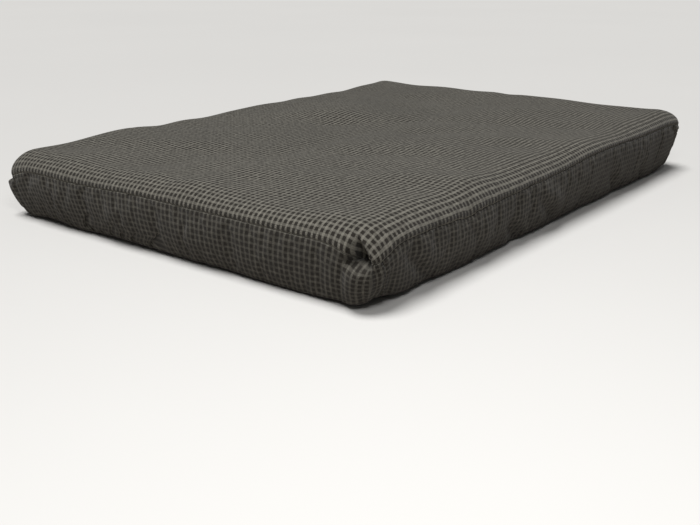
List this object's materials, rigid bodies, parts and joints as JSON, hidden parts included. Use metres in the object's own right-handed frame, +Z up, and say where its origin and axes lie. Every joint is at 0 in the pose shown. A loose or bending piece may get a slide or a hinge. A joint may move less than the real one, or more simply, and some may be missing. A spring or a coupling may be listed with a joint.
{
  "type": "futon mattress",
  "caption": "Full-size boxed futon mattress: zipped checked cover over tufted foam and batting, folding along its length to make a sofa seat and back.",
  "frame": {"origin": "centre of the underside, on the surface that the mattress lies on", "axes": "+X along the length, +Y from the front long side to the rear long side with the zip, +Z up"},
  "size_m": [1.905, 1.372, 0.216],
  "materials": {
    "cover_cloth": "matte",
    "zip_tape": "matte",
    "zip_teeth": "satin",
    "zip_metal": "satin",
    "ticking": "matte",
    "edge_tape": "matte",
    "batting": "matte",
    "foam": "matte",
    "tuft_felt": "matte"
  },
  "bodies": {
    "seat_half": {"batting_bottom_seat": "batting", "batting_middle_seat": "batting", "batting_top_seat": "batting", "cover_bottom_seat": "cover_cloth", "cover_boxing_front": "cover_cloth", "cover_boxing_left_seat": "cover_cloth", "cover_boxing_right_seat": "cover_cloth", "cover_top_seat": "cover_cloth", "edge_tape_bottom_seat": "edge_tape", "edge_tape_top_seat": "edge_tape", "foam_lower_seat": "foam", "foam_upper_seat": "foam", "ticking_border_seat": "ticking", "ticking_bottom_seat": "ticking", "ticking_top_seat": "ticking", "tuft_seat_1": "tuft_felt", "tuft_seat_10": "tuft_felt", "tuft_seat_2": "tuft_felt", "tuft_seat_3": "tuft_felt", "tuft_seat_4": "tuft_felt", "tuft_seat_5": "tuft_felt", "tuft_seat_6": "tuft_felt", "tuft_seat_7": "tuft_felt", "tuft_seat_8": "tuft_felt", "tuft_seat_9": "tuft_felt"},
    "back_half": {"batting_bottom_back": "batting", "batting_middle_back": "batting", "batting_top_back": "batting", "cover_bottom_back": "cover_cloth", "cover_boxing_left_back": "cover_cloth", "cover_boxing_right_back": "cover_cloth", "cover_top_back": "cover_cloth", "cover_zip_strip_lower": "cover_cloth", "cover_zip_strip_upper": "cover_cloth", "edge_tape_bottom_back": "edge_tape", "edge_tape_top_back": "edge_tape", "foam_lower_back": "foam", "foam_upper_back": "foam", "ticking_border_back": "ticking", "ticking_bottom_back": "ticking", "ticking_top_back": "ticking", "tuft_back_1": "tuft_felt", "tuft_back_10": "tuft_felt", "tuft_back_2": "tuft_felt", "tuft_back_3": "tuft_felt", "tuft_back_4": "tuft_felt", "tuft_back_5": "tuft_felt", "tuft_back_6": "tuft_felt", "tuft_back_7": "tuft_felt", "tuft_back_8": "tuft_felt", "tuft_back_9": "tuft_felt", "zip_stop_closed": "zip_metal", "zip_stop_open": "zip_metal", "zip_tape_lower": "zip_tape", "zip_tape_upper": "zip_tape", "zip_teeth_lower": "zip_teeth", "zip_teeth_upper": "zip_teeth"},
    "zip_slider": {"zip_slider": "zip_metal"},
    "zip_tab": {"zip_pull_tab": "zip_metal"}
  },
  "joints": [
    {"name": "fold", "type": "hinge", "parent": "seat_half", "child": "back_half", "pos_m": [0, 0, 0.2163], "axis": [1, 0, 0], "range_deg": [0, 90]},
    {"name": "zip_slide", "type": "slide", "parent": "back_half", "child": "zip_slider", "axis": [-1, 0, 0], "range_m": [0, 1.69]},
    {"name": "zip_tab_flip", "type": "hinge", "parent": "zip_slider", "child": "zip_tab", "pos_m": [0.8625, 0.67574, 0.07447], "axis": [0, -0.1654, -0.9862], "range_deg": [0, 175]}
  ]
}
